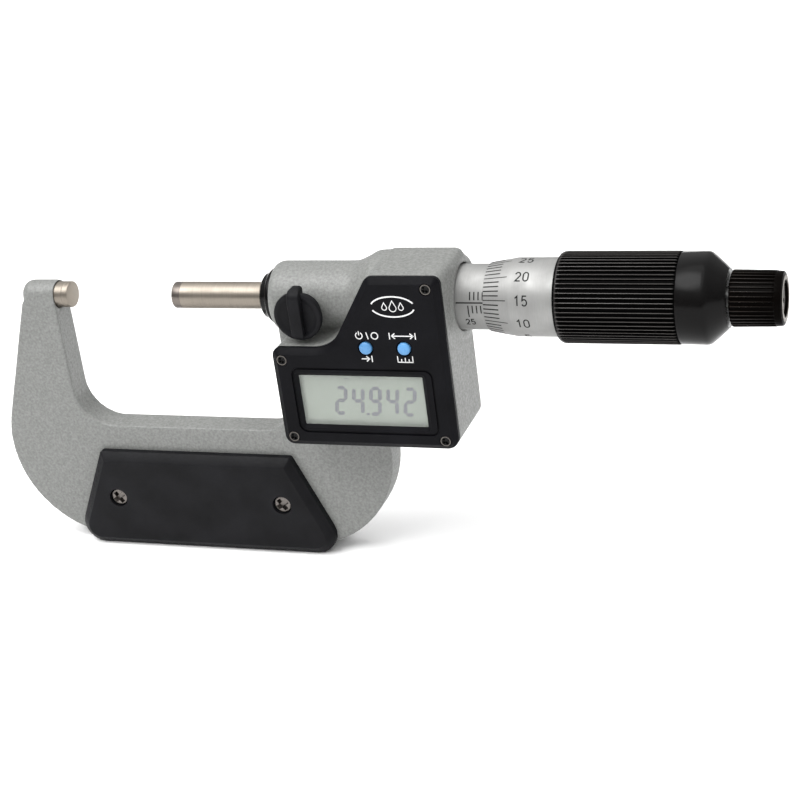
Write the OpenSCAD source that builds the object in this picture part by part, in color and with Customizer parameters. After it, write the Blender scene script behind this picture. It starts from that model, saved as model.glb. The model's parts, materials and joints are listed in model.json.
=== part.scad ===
// Outside micrometer with a digital display, 25 to 50 mm, with its measuring axis along +X.
// The origin is the centre of the anvil's measuring face, +Z is up, and the display faces -Y.
// The spindle stands at "reading". Lengths are in millimetres.

/* [Measuring line] */
// Distance between the anvil and the spindle
reading = 28.643; // [25:0.001:50]
// Smallest distance that the instrument measures
reading_min = 25; // [25:25:25]
// Diameter of the anvil and the spindle
spindle_d = 6.5; // [6:0.1:7]
// Length of the carbide tip on the spindle
tip_len = 2.2; // [1:0.1:3]
// Radial clearance of every running fit
run_gap = 0.03; // [0.02:0.01:0.08]

/* [Frame] */
// Thickness of the frame's web
frame_t = 7.4; // [7.2:0.1:9]
// Depth of the throat below the measuring line
throat_depth = 34.4; // [32:0.1:36]
// Distance from the anvil face to the throat's left wall
throat_left = 3.6; // [3:0.1:4]
// Distance from the anvil face to the throat's right wall
throat_right = 55.8; // [55.8:0.1:56]
// Distance from the measuring line to the frame's lowest edge
frame_drop = 66.4; // [64:0.1:68]
// Radius of the boss in front of the case
boss_r = 8.4; // [8:0.1:9]
// Radius of the barrel that holds the encoder
barrel_r = 10.95; // [10.9:0.05:12]
// Where the barrel ends and the graduated sleeve starts to show
barrel_end = 102.5; // [102:0.1:103]

/* [Electronics case] */
// Left side of the case
case_left = 58.75; // [58:0.05:59]
// Lower side of the case, below the measuring line
case_drop = 31.8; // [31:0.1:32]
// Distance from the measuring line to the front of the cover
cover_front = 16.3; // [16:0.1:17]
// Thickness of the cover
cover_t = 1.8; // [1.6:0.1:2]
// Thickness of the gasket under the cover
gasket_t = 0.3; // [0.2:0.1:0.4]
// Width of the display window
window_w = 30.5; // [29:0.1:31]
// Height of the display window
window_h = 12.6; // [12:0.1:13]
// Diameter of a push button
button_d = 3.0; // [2.8:0.1:3.2]
// Travel of a push button
button_travel = 0.5; // [0.3:0.1:0.5]

/* [Grip plates] */
// Thickness of a grip plate
plate_t = 3.2; // [2.8:0.1:3.6]
// Distance between a plate's two screws
plate_screw_pitch = 45.5; // [44:0.5:47]

/* [Lock] */
// Distance from the anvil face to the lock's axis
lock_x = 65.6; // [65:0.1:66]
// Radius of the lock knob
lock_r = 5.9; // [5.5:0.05:6]

/* [Sleeve and thimble] */
// Radius of the graduated sleeve
sleeve_r = 7.6; // [7.5:0.05:7.7]
// Where the 25 mm mark lies on the sleeve
sleeve_mark = 105.45; // [105:0.05:106]
// Radius of the thimble
thimble_r = 9.05; // [9:0.05:9.2]
// Radius over the grip's ribs
grip_r = 10.45; // [10.3:0.05:10.6]
// Number of ribs on the grip
grip_ribs = 60; // [50:1:64]
// Radius of the ratchet knob at its open end
ratchet_r = 6.3; // [6.1:0.05:6.4]
// Number of ribs on the ratchet knob
ratchet_ribs = 36; // [30:1:40]

/* [Hidden] */
$fn = 96;

enamel = [0.64, 0.66, 0.63];
black = [0.11, 0.11, 0.12];
steel = [0.72, 0.70, 0.66];
bright = [0.82, 0.83, 0.84];
brass = [0.78, 0.62, 0.32];
rubber = [0.16, 0.16, 0.17];
blue = [0.42, 0.68, 0.88];
green = [0.16, 0.40, 0.24];
glass = [0.72, 0.78, 0.72];

overcut = 1;                              // how far a cut runs past a face
seat_gap = 0.02;                          // gap between pieces that are pushed together
shift = reading - reading_min;            // how far the spindle stands open
arm_left = -12.75;                        // left end of the arm at the measuring line
anvil_back = -11;                         // hidden end of the anvil
spindle_r = spindle_d / 2;
half_t = frame_t / 2;
arc_step = 6;                             // degrees of a rounded corner per side

// Case and cover, in X and Z, with Y = 0 on the measuring line
cover_back = cover_t - cover_front;       // Y of the cover's rear face
case_front = cover_back + gasket_t;       // Y of the case's front face
case_right = barrel_end - 0.35;
case_top = barrel_r - 0.1;                 // the barrel stands a little above the case
lobe_top = -6.8;                          // top of the lobe below the lock
case_corner = 2.2;
// Outline of the case: each corner is [x, z, radius]
case_path = [
    [case_left, lobe_top, case_corner], [case_left, -case_drop, case_corner],
    [case_right, -case_drop, 3], [case_right, case_top, 1.8],
    [84.6, case_top, 2.4], [73.8, lobe_top, 8]
];
cover_screw_at = [[61.3, -9.7], [61.4, -29.4], [99.2, -29.4], [98.9, 8.2]];
pocket_wall = 4.8;                        // wall left beside the cover screws
pocket_left = case_left + pocket_wall;
pocket_right = case_right - 5.1;
pocket_low = 3.7 - case_drop;
pocket_top = -8.8;                        // roof of the lower pocket
upper_left = 80.5;
upper_top = 2.4;                          // keeps a wall between the upper pocket and the slope
lower_floor = -4.6;                       // Y of the lower pocket's floor
upper_floor = -9.7;                       // Y of the upper pocket's floor

window_x = 80.05;
window_z = -19.85;
button_at = [[82.8, -6.2], [92.1, -6.2]];
board_y = [-12.3, -11.3];

// Encoder, guide and sleeve, as distances from the anvil face
boss_front = throat_right;
bush_r = 4.6;
bush_end = 80.5;
chamber_start = 83.5;
chamber_r = sleeve_r + 0.05;
rotor_x = [86, 91];
stator_x = [91.6, 93.2];
flange_x = [95.5, 98.4];                  // flange of the inner sleeve
inner_r = 6.55;                           // outside of the inner sleeve
sleeve_x = [98.6, 133];
nut_start = 121;                          // where the nut thread starts
thread_r = 3.8;

// Thimble group, moving with the spindle
thimble_x = sleeve_mark + shift;
grip_x = thimble_x + 16.5;
rib_end = grip_x + 27.5;
hub_x = thimble_x + 29.5;
hub_end = hub_x + 9;
band_end = rib_end + 5.9;
tail_end = band_end + 4.6;
thread_x = [reading + 70.4, reading + 108.4];
keyway_x = [reading + 35.2, reading + 66.2];
knob_x = tail_end + 0.5;
knob_end = knob_x + 11.6;
bore_floor = knob_x + 1.9;
flange_start = knob_end - 3.4;

plate_mid = 27.75;
plate_top = 41;
plate_low = 67.4;
plate_screw_z = -53.5;
plate_path = [
    [plate_mid - 26.2, -plate_top, 0.8], [plate_mid - 38, -plate_low, 5.2],
    [plate_mid + 38, -plate_low, 5.2], [plate_mid + 26.2, -plate_top, 0.8]
];
battery_at = [91, -20];
battery_r = 5.8;

// Lock knob: the disc in Y, the fin in Z and its half width
lock_disc = [-13.2, -11.8];
fin_z = [-5.2, 7.1];
fin_half = 1.5;

// Ratchet parts, as distances from the floor of the knob's bore
driver_x = [0.15, 1.2];
follower_x = [1.95, 2.95];
spring_start = 3.3;
tooth_h = 0.3;

// Buttons: thickness of the flange behind the cover
button_flange = 0.5;
seal_front = cover_back + button_flange + button_travel + 0.1;

// Corner rounding: the points of an arc of radius r that joins q-p to q-s
function unit(v) = v / norm(v);
function fillet(p, q, s, r) =
    r == 0 ? [q] :
    let (
        u = unit(p - q),
        w = unit(s - q),
        half = acos(u * w) / 2,
        c = q + unit(u + w) * r / sin(half),
        from = q + u * r / tan(half) - c,
        to = q + w * r / tan(half) - c,
        sweep = sign(cross(from, to)) * (180 - 2 * half),
        steps = max(2, ceil(abs(sweep) / arc_step)),
        start = atan2(from[1], from[0])
    )
    [for (i = [0 : steps]) c + r * [cos(start + sweep * i / steps), sin(start + sweep * i / steps)]];
function at(corner) = [corner[0], corner[1]];
function rounded(path) =
    let (n = len(path))
    [for (i = [0 : n - 1]) each fillet(at(path[(i + n - 1) % n]), at(path[i]), at(path[(i + 1) % n]), path[i][2])];

// A flat shape in X and Z, made solid from Y = y0 to Y = y1
module slab(y0, y1) {
    translate([0, y1, 0]) rotate([90, 0, 0]) linear_extrude(y1 - y0) children();
}

// A rectangle in X and Z, made solid between two Y values
module block(x, y, z) {
    translate([x[0], y[0], z[0]]) cube([x[1] - x[0], y[1] - y[0], z[1] - z[0]]);
}

// A profile of [radius, x] points turned about the measuring line
module turned(points) {
    rotate([0, 90, 0]) rotate_extrude() polygon(points);
}

// A rod along X
module rod(x0, x1, r) {
    translate([x0, 0, 0]) rotate([0, 90, 0]) cylinder(h = x1 - x0, r = r);
}

// A ring along X
module ring(x0, x1, r_out, r_in) {
    difference() {
        rod(x0, x1, r_out);
        rod(x0 - overcut, x1 + overcut, r_in);
    }
}

// A rod along Y through the point [x, z]
module post(p, y0, y1, r) {
    translate([p[0], y1, p[1]]) rotate([90, 0, 0]) cylinder(h = y1 - y0, r = r);
}

// Ribbed outline: ribs with flat crests and V-shaped grooves between them
module ribbed(r, count, depth) {
    pitch = 360 / count;
    crest = pitch * 0.22;
    polygon([for (i = [0 : count - 1]) each [
        r * [cos(i * pitch - crest), sin(i * pitch - crest)],
        r * [cos(i * pitch + crest), sin(i * pitch + crest)],
        (r - depth) * [cos((i + 0.42) * pitch), sin((i + 0.42) * pitch)],
        (r - depth) * [cos((i + 0.58) * pitch), sin((i + 0.58) * pitch)]
    ]]);
}

// A cross-head screw, its head at Y = 0 and its shank along +Y
module screw(head_r, head_h, shank_r, shank_len) {
    difference() {
        union() {
            rotate([-90, 0, 0]) cylinder(h = head_h * 0.5, r = head_r);
            translate([0, head_h * 0.5, 0]) rotate([-90, 0, 0])
                cylinder(h = head_h * 0.5, r1 = head_r, r2 = shank_r);
            rotate([-90, 0, 0]) cylinder(h = head_h + shank_len, r = shank_r);
        }
        for (turn = [45, 135]) rotate([0, turn, 0])
            translate([-head_r * 0.62, -overcut, -head_r * 0.14])
                cube([head_r * 1.24, overcut + head_h * 0.6, head_r * 0.28]);
    }
}

// Web of the frame: a flat C with a round-cornered throat
module web_outline() {
    lean = 0.336;                         // how far the left arm leans out, per unit of height
    web_right = 80.2;
    difference() {
        polygon(rounded([
            [arm_left + 2.2, 0, 0], [arm_left - 0.1, -0.8, 1.6], [arm_left - lean * frame_drop, -frame_drop, 26],
            [web_right, -frame_drop, 27], [web_right, 0, 0]
        ]));
        polygon(rounded([
            [-throat_left, overcut, 0], [-throat_left, -throat_depth, 10],
            [throat_right, -throat_depth, 8], [throat_right, overcut, 0]
        ]));
    }
}

// Boss, ramp and barrel, turned about the measuring line
module barrel() {
    turned([
        [0, boss_front], [boss_r - 1.6, boss_front], [boss_r - 0.5, boss_front + 0.5],
        [boss_r, boss_front + 1.7], [boss_r, 76.2], [boss_r + 0.35, 77.6],
        [barrel_r - 0.8, 80.6], [barrel_r - 0.15, 81.7], [barrel_r, 82.8],
        [barrel_r, barrel_end - 2], [barrel_r - 0.5, barrel_end - 1.3],
        [9.9, barrel_end - 1.1], [9.5, barrel_end], [0, barrel_end]
    ]);
}

module arm_head() {
    turned([
        [0, arm_left - 0.3], [half_t - 2.1, arm_left - 0.3], [half_t - 1, arm_left + 0.05],
        [half_t - 0.35, arm_left + 0.75], [half_t, arm_left + 1.75],
        [half_t, -throat_left], [0, -throat_left]
    ]);
}

module frame() color(enamel) difference() {
    union() {
        slab(-half_t, half_t) web_outline();
        arm_head();
        barrel();
        slab(case_front, half_t) polygon(rounded(case_path));
    }
    rod(anvil_back, 0, spindle_r + seat_gap);
    rod(boss_front - overcut, chamber_start + overcut, bush_r + seat_gap);
    rod(chamber_start, barrel_end + overcut, chamber_r);
    post([lock_x, 0], -boss_r - overcut, 0, 1.8);
    block([pocket_left, pocket_right], [case_front - overcut, lower_floor], [pocket_low, pocket_top]);
    block([upper_left, pocket_right], [case_front - overcut, upper_floor], [pocket_top - overcut, upper_top]);
    block([stator_x[0] + 1, stator_x[1] + 1.2], [upper_floor - overcut, -4], [-2, 2]);
    post(battery_at, lower_floor - overcut, half_t + overcut, battery_r + 0.3);
    post(battery_at, 1.8, half_t + overcut, 7.3);
    for (p = cover_screw_at) post(p, case_front - overcut, -7, 0.75);
    for (side = [-1, 1]) post(plate_screw(side), -half_t - overcut, half_t + overcut, 1.25);
}

module anvil() color(steel) rod(anvil_back, -1.6, spindle_r);

module anvil_tip() color(steel) turned([
    [0, -1.6], [spindle_r, -1.6], [spindle_r, -0.25], [spindle_r - 0.25, 0], [0, 0]
]);

// Place of a grip plate's screw: side is -1 or 1
function plate_screw(side) = [plate_mid + side * plate_screw_pitch / 2, plate_screw_z];

// Grip plate on the front; the rear one is its mirror image
module grip_plate() color(black) difference() {
    slab(-half_t - plate_t, -half_t) polygon(rounded(plate_path));
    for (side = [-1, 1]) {
        post(plate_screw(side), -half_t - plate_t - overcut, -half_t + overcut, 1.5);
        post(plate_screw(side), -half_t - plate_t - overcut, -half_t - 1.1, 2.4);
    }
}

module front_grip_plate() grip_plate();

module rear_grip_plate() mirror([0, 1, 0]) grip_plate();

module plate_screws() color(steel) for (side = [-1, 1])
    translate([plate_screw(side)[0], -half_t - plate_t + 0.55, plate_screw_z]) screw(2.15, 1.5, 1.2, 3.4);

module front_plate_screws() plate_screws();

module rear_plate_screws() mirror([0, 1, 0]) plate_screws();

module guide_bush() color(bright) difference() {
    ring(boss_front + 1.8, bush_end, bush_r, spindle_r + run_gap);
    post([lock_x, 0], -bush_r - overcut, 0, 1.25);
}

module wiper_ring() color(rubber) ring(boss_front + 0.1, boss_front + 1.7, bush_r - 0.1, spindle_r + 0.06);

module seal_cap() color(black) difference() {
    turned([
        [0, boss_front - 3.2], [4.7, boss_front - 3.2], [5.5, boss_front - 2.6], [5.8, boss_front - 1.5],
        [6.4, boss_front - 1.2], [6.7, boss_front - 0.7], [6.7, boss_front], [0, boss_front]
    ]);
    rod(boss_front - 3.2 - overcut, boss_front + overcut, spindle_r + 0.08);
}

// Knob: a thin disc on a narrower neck, with a fin that runs out past the disc's top
module lock_knob() color(black) difference() {
    union() {
        post([lock_x, 0], lock_disc[0], lock_disc[1], lock_r);
        post([lock_x, 0], lock_disc[1] - seat_gap, -9, lock_r - 1.5);
        slab(-14.6, lock_disc[0]) polygon(rounded([
            [lock_x - fin_half, fin_z[1], 0.9], [lock_x - fin_half, fin_z[0], 1.1],
            [lock_x + fin_half, fin_z[0], 1.1], [lock_x + fin_half, fin_z[1], 0.9]
        ]));
        slab(lock_disc[0] - seat_gap, -11.4) polygon(rounded([
            [lock_x - fin_half, fin_z[1], 0.9], [lock_x - fin_half, 0, 0],
            [lock_x + fin_half, 0, 0], [lock_x + fin_half, fin_z[1], 0.9]
        ]));
    }
    post([lock_x, 0], lock_disc[0] + 1.2, -9 + overcut, 1.7);
}

module lock_stem() color(steel) post([lock_x, 0], -11.9, -5.4, 1.65);

module lock_pad() color(brass) difference() {
    post([lock_x, 0], -5.3, -3, 1.2);
    rod(lock_x - 2, lock_x + 2, spindle_r + 0.13);
}

module display_cover() color(black) difference() {
    slab(-cover_front, cover_back) polygon(rounded(case_path));
    block(
        [window_x - window_w / 2, window_x + window_w / 2], [-cover_front - overcut, cover_back + overcut],
        [window_z - window_h / 2, window_z + window_h / 2]
    );
    block(
        [window_x - window_w / 2 - 0.8, window_x + window_w / 2 + 0.8], [cover_back - 1.1, cover_back + overcut],
        [window_z - window_h / 2 - 0.8, window_z + window_h / 2 + 0.8]
    );
    for (p = button_at) post(p, -cover_front - overcut, cover_back + overcut, button_d / 2 + 0.06);
    for (p = cover_screw_at) {
        post(p, -cover_front - overcut, cover_back + overcut, 0.8);
        post(p, -cover_front - overcut, -cover_front + 1, 1.45);
    }
}

module cover_gasket() color(rubber) difference() {
    slab(cover_back, case_front) polygon(rounded(case_path));
    block([pocket_left, pocket_right], [cover_back - overcut, 0], [pocket_low, pocket_top + overcut]);
    block([upper_left, pocket_right], [cover_back - overcut, 0], [pocket_top, upper_top]);
    for (p = cover_screw_at) post(p, cover_back - overcut, 0, 0.8);
}

module cover_screws() color(steel) for (p = cover_screw_at)
    translate([p[0], -cover_front + 0.25, p[1]]) screw(1.2, 0.7, 0.7, 6.4);

module display_window() color(glass) block(
    [window_x - window_w / 2 - 0.75, window_x + window_w / 2 + 0.75], [cover_back - 1.05, cover_back - 0.25],
    [window_z - window_h / 2 - 0.75, window_z + window_h / 2 + 0.75]
);

module lcd_panel() color(glass) block(
    [window_x - window_w / 2 - 0.75, window_x + window_w / 2 + 0.75], [cover_back, board_y[0] - 0.7],
    [window_z - window_h / 2 - 0.9, window_z + window_h / 2 + 0.9]
);

module contact_strips() color(rubber) for (side = [-1, 1]) block(
    [window_x - window_w / 2, window_x + window_w / 2], [board_y[0] - 0.7, board_y[0]],
    [window_z + side * 6 - 0.6, window_z + side * 6 + 0.6]
);

module circuit_board() color(green) {
    block([pocket_left + 0.4, pocket_right - 0.4], board_y, [pocket_low + 0.4, pocket_top - 0.3]);
    block([upper_left + 0.4, pocket_right - 0.4], board_y, [pocket_top - 0.4, upper_top - 0.4]);
}

module switch_domes() color(bright) for (p = button_at) translate([p[0], board_y[0], p[1]]) rotate([90, 0, 0])
    rotate_extrude() polygon([[0, 0], [1.6, 0], [1.2, 0.3], [0.5, 0.42], [0, 0.42]]);

module button_seal() color(rubber) block(
    [button_at[0][0] - 1.7, button_at[1][0] + 1.9], [seal_front, seal_front + 0.3],
    [button_at[0][1] - 2.2, button_at[0][1] + 2.4]
);

// A domed button that stands proud of the cover, with a flange that keeps it in
module button(p) color(blue) translate([p[0], cover_back, p[1]]) rotate([90, 0, 0]) rotate_extrude() polygon([
    [0, -button_flange], [button_d / 2 + 0.5, -button_flange], [button_d / 2 + 0.5, -0.02], [button_d / 2, -0.02],
    [button_d / 2, cover_t + 0.1], [button_d / 2 - 0.2, cover_t + 0.36], [button_d / 2 - 0.6, cover_t + 0.56],
    [0.4, cover_t + 0.65], [0, cover_t + 0.65]
]);

module power_button() button(button_at[0]);

module mode_button() button(button_at[1]);

module battery() color(bright) post(battery_at, -3.9, 1.5, battery_r);

module battery_contact() color(brass) {
    block([battery_at[0] - 4, battery_at[0] + 4], [-4.4, -4.1], [battery_at[1] - 1, battery_at[1] + 1]);
    block([battery_at[0] - 4, battery_at[0] - 3.6], [board_y[1] + 0.02, -4.2], [battery_at[1] - 1, battery_at[1] + 1]);
}

module battery_cap() color(black) difference() {
    union() {
        post(battery_at, 2.2, half_t + 0.4, 7);
        post(battery_at, 1.6, 2.3, 5.6);
    }
    translate([battery_at[0], half_t + 0.4, battery_at[1]])
        cube([9, 1.8, 1.4], center = true);
}

module battery_cap_oring() color(rubber) difference() {
    post(battery_at, 1.82, 2.18, 6.9);
    post(battery_at, 1, 3, 6.2);
}

module encoder_stator() color(green) ring(stator_x[0], stator_x[1], chamber_r - seat_gap, 4.2);

module stator_ribbon() color(brass) block([stator_x[1] + 0.05, stator_x[1] + 0.25], [board_y[1] + 0.05, -6], [-1.5, 1.5]);

module encoder_rotor() color(brass) difference() {
    union() {
        rod(rotor_x[0], rotor_x[1], 4.9);
        rod(rotor_x[1] - 1.4, rotor_x[1], 7);
    }
    rod(rotor_x[0] - overcut, rotor_x[1] + overcut, spindle_r + 0.05);
    block(rotor_x + [-overcut, overcut], [0, 4.1], [-0.5, 0.5]);
}

module rotor_key() color(steel) block(rotor_x + [0.4, -0.4], [2.65, 4.05], [-0.45, 0.45]);

module inner_sleeve() color(steel) difference() {
    union() {
        rod(flange_x[0], flange_x[1], chamber_r - seat_gap);
        rod(flange_x[0], sleeve_x[1] - 4, inner_r);
        rod(flange_x[0], sleeve_x[1], inner_r - 0.8);
    }
    rod(flange_x[0] - overcut, nut_start, thread_r + 0.4);
    rod(nut_start - overcut, sleeve_x[1] + overcut, thread_r + run_gap);
}

module graduated_sleeve() color(bright) ring(sleeve_x[0], sleeve_x[1] - 1.4, sleeve_r, inner_r + seat_gap);

module adjusting_nut() color(steel) difference() {
    ring(sleeve_x[1] - 3.9, sleeve_x[1] - 1.5, inner_r - 0.02, inner_r - 0.78);
    for (turn = [0, 90]) rotate([turn, 0, 0])
        block([sleeve_x[1] - 2.2, sleeve_x[1]], [-8, 8], [-0.5, 0.5]);
}

module spindle() color(steel) difference() {
    turned([
        [0, reading + tip_len], [spindle_r, reading + tip_len], [spindle_r, thread_x[0]],
        [thread_r, thread_x[0] + 0.5], [thread_r, thread_x[1]], [spindle_r, thread_x[1] + 0.5],
        [spindle_r, hub_x], [spindle_r - 0.5, hub_end], [spindle_r - 0.5, hub_end + 4], [0, hub_end + 4]
    ]);
    block(keyway_x, [spindle_r - 0.7, spindle_r + overcut], [-0.55, 0.55]);
    rod(hub_end - 6, hub_end + 5, 1.6 + seat_gap);
}

module spindle_tip() color(steel) turned([
    [0, reading], [spindle_r - 0.3, reading], [spindle_r, reading + 0.3], [spindle_r, reading + tip_len],
    [0, reading + tip_len]
]);

module thimble() color(bright) difference() {
    turned([
        [0, thimble_x], [sleeve_r + 0.33, thimble_x], [thimble_r - 0.15, thimble_x + 5.6],
        [thimble_r, thimble_x + 6.5], [thimble_r, hub_end], [0, hub_end]
    ]);
    rod(thimble_x - overcut, hub_x, sleeve_r + 0.13);
    turned([
        [0, hub_x - overcut], [spindle_r + seat_gap, hub_x - overcut], [spindle_r + seat_gap, hub_x],
        [spindle_r - 0.5 + seat_gap, hub_end], [spindle_r - 0.5 + seat_gap, hub_end + overcut],
        [0, hub_end + overcut]
    ]);
}

module grip_sleeve() color(black) difference() {
    union() {
        translate([grip_x + 1.3, 0, 0]) rotate([0, 90, 0])
            linear_extrude(rib_end - grip_x - 1.3) ribbed(grip_r, grip_ribs, 0.5);
        turned([
            [0, grip_x], [grip_r - 1.2, grip_x], [grip_r - 0.55, grip_x + 0.3],
            [grip_r - 0.1, grip_x + 1.3], [0, grip_x + 1.3]
        ]);
    }
    rod(grip_x - overcut, rib_end + overcut, thimble_r + seat_gap);
}

// Tail cap, with a spigot that sits in the end of the grip sleeve
module tail_cap() color(black) difference() {
    turned([
        [0, hub_end + 0.3], [thimble_r, hub_end + 0.3], [thimble_r, rib_end],
        [grip_r - 0.05, rib_end], [grip_r - 0.05, band_end], [grip_r - 0.5, band_end + 1.1],
        [grip_r - 1.3, band_end + 2.3], [7.2, band_end + 4.1], [6.6, tail_end], [0, tail_end]
    ]);
    rod(hub_end - overcut, band_end, 7.6);
    rod(band_end - overcut, tail_end + overcut, 2.52);
}

module thimble_nut() color(steel) difference() {
    ring(hub_end + 0.05, hub_end + 3.4, 5.6, spindle_r - 0.5 + seat_gap);
    for (side = [-1, 1]) translate([0, side * 6.6, 0]) block([hub_end, hub_end + 4], [-1.5, 1.5], [-7, 7]);
}

module ratchet_stub() color(steel) difference() {
    union() {
        rod(hub_end - 5.5, hub_end + 4.1, 1.6);
        rod(hub_end + 4.1, flange_start + 1.05, 2.5);
    }
    rod(flange_start - 5, flange_start + 3, 1.12);
}

// Disc with a ring of low saw teeth on one face; the teeth point along +X
module toothed_disc(x0, x1, r_out, r_in) {
    teeth = 12;
    ring(x0, x1, r_out, r_in);
    for (i = [0 : teeth - 1]) rotate([i * 360 / teeth, 0, 0])
        translate([0, 0, (r_out + r_in) / 2]) rotate([-90, 0, 0]) linear_extrude(0.7, center = true)
            polygon([[x1 - 0.1, -0.5], [x1 + tooth_h, 0], [x1 - 0.1, 0.5]]);
}

module ratchet_driver() color(steel) translate([bore_floor, 0, 0])
    toothed_disc(driver_x[0], driver_x[1], 4.2, 2.5 + seat_gap);

module ratchet_follower() color(steel) translate([bore_floor, 0, 0]) mirror([1, 0, 0])
    toothed_disc(-follower_x[1], -follower_x[0], 4.5, 2.6);

// Compression spring, swept as rings of points along a helix
module ratchet_spring() color(steel) {
    wire_r = 0.22;
    coil_r = 3.5;
    turns = 3;
    steps = 24;
    sides = 8;
    x0 = bore_floor + spring_start;
    x1 = flange_start - 0.3;
    count = turns * steps;
    points = [for (i = [0 : count]) each [
        for (j = [0 : sides - 1])
            let (a = i * 360 / steps, b = j * 360 / sides, r = coil_r + wire_r * cos(b))
            [x0 + (x1 - x0) * i / count + wire_r * sin(b), r * cos(a), r * sin(a)]
    ]];
    walls = [for (i = [0 : count - 1]) each [
        for (j = [0 : sides - 1])
            [i * sides + j, (i + 1) * sides + j, (i + 1) * sides + (j + 1) % sides, i * sides + (j + 1) % sides]
    ]];
    ends = [
        [for (j = [0 : sides - 1]) j],
        [for (j = [0 : sides - 1]) count * sides + sides - 1 - j]
    ];
    polyhedron(points, concat(walls, ends));
}

module ratchet_knob() color(black) difference() {
    union() {
        translate([knob_x, 0, 0]) rotate([0, 90, 0])
            linear_extrude(knob_end - knob_x - 1.9) ribbed(ratchet_r, ratchet_ribs, 0.4);
        turned([
            [0, knob_end - 1.9], [ratchet_r - 0.15, knob_end - 1.9], [ratchet_r - 0.25, knob_end - 0.4],
            [ratchet_r - 0.8, knob_end], [0, knob_end]
        ]);
    }
    rod(knob_x - overcut, bore_floor + overcut, 2.55);
    rod(bore_floor, flange_start, 4.7);
    rod(flange_start - overcut, knob_end, 2.6);
    rod(flange_start + 1, knob_end + overcut, 4);
}

module ratchet_screw() color(black) translate([flange_start + 2.7, 0, 0]) rotate([0, 0, 90])
    screw(3.6, 1.6, 1.1, 4.6);

frame();
anvil();
anvil_tip();
front_grip_plate();
rear_grip_plate();
front_plate_screws();
rear_plate_screws();
guide_bush();
wiper_ring();
seal_cap();
lock_knob();
lock_stem();
lock_pad();
display_cover();
cover_gasket();
cover_screws();
display_window();
lcd_panel();
contact_strips();
circuit_board();
switch_domes();
button_seal();
power_button();
mode_button();
battery();
battery_contact();
battery_cap();
battery_cap_oring();
encoder_stator();
stator_ribbon();
encoder_rotor();
rotor_key();
inner_sleeve();
graduated_sleeve();
adjusting_nut();
spindle();
spindle_tip();
thimble();
grip_sleeve();
tail_cap();
thimble_nut();
ratchet_stub();
ratchet_driver();
ratchet_follower();
ratchet_spring();
ratchet_knob();
ratchet_screw();
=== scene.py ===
import json
import math

import bmesh
import bpy
from mathutils import Matrix, Vector


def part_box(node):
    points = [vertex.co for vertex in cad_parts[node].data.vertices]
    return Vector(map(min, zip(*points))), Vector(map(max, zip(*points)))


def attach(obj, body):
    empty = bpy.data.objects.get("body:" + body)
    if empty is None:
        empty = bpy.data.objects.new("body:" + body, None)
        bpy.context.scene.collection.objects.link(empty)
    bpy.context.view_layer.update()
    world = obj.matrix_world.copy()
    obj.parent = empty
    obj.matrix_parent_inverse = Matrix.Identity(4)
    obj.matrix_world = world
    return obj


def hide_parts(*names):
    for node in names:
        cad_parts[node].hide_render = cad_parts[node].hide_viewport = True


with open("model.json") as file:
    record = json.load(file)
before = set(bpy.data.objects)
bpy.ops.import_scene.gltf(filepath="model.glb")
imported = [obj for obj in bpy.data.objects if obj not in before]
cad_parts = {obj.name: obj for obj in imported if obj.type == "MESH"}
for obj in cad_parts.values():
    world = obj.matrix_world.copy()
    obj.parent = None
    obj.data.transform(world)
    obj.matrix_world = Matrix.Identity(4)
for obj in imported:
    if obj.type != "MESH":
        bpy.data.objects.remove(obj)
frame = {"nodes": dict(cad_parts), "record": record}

MM = 0.001
OVERCUT = 1.0           # how far a cutter runs past a face
PAINT = 0.02            # height of printed and filled marks above their surface
INDEX_ANGLE = 11.35     # degrees from straight ahead up to the sleeve's index line
SQUARE = ((-1, -1), (1, -1), (1, 1), (-1, 1))
scene = bpy.context.scene
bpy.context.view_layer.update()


def span(node):
    """Lowest and highest corner of a CAD node, in millimetres."""
    low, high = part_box(node)
    return low / MM, high / MM


# ---------------------------------------------------------------- mesh helpers
def build(name, points, faces):
    """A new mesh object from points in millimetres, with its faces turned outwards."""
    mesh = bpy.data.meshes.new(name)
    mesh.from_pydata([(x * MM, y * MM, z * MM) for x, y, z in points], [], faces)
    work = bmesh.new()
    work.from_mesh(mesh)
    bmesh.ops.recalc_face_normals(work, faces=work.faces)
    work.to_mesh(mesh)
    work.free()
    obj = bpy.data.objects.new(name, mesh)
    scene.collection.objects.link(obj)
    return obj


def loft(name, rings, closed=False):
    """Joins rings of equally many points. The ends are capped, or meet each other if closed."""
    count = len(rings[0])
    points = [p for ring in rings for p in ring]
    faces = []
    for i in range(len(rings) if closed else len(rings) - 1):
        a, b = i * count, (i + 1) % len(rings) * count
        faces += [(a + j, a + (j + 1) % count, b + (j + 1) % count, b + j) for j in range(count)]
    if not closed:
        faces += [tuple(range(count)), tuple(range(len(points) - count, len(points)))]
    return build(name, points, faces)


def circle(x, r, steps=128):
    """A ring of points about the measuring line."""
    turns = [2 * math.pi * i / steps for i in range(steps)]
    return [(x, r * math.cos(a), r * math.sin(a)) for a in turns]


def lathe(name, profile, closed=False, steps=128):
    """Turns a profile of (x, radius) about the measuring line."""
    return loft(name, [circle(x, r, steps) for x, r in profile], closed)


def post(name, centre, profile, steps=64):
    """Turns a profile of (y, radius) about an axis along Y through centre, an (x, z) pair."""
    turns = [2 * math.pi * i / steps for i in range(steps)]
    return loft(name, [[(centre[0] + r * math.cos(a), y, centre[1] + r * math.sin(a)) for a in turns]
                       for y, r in profile])


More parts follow.
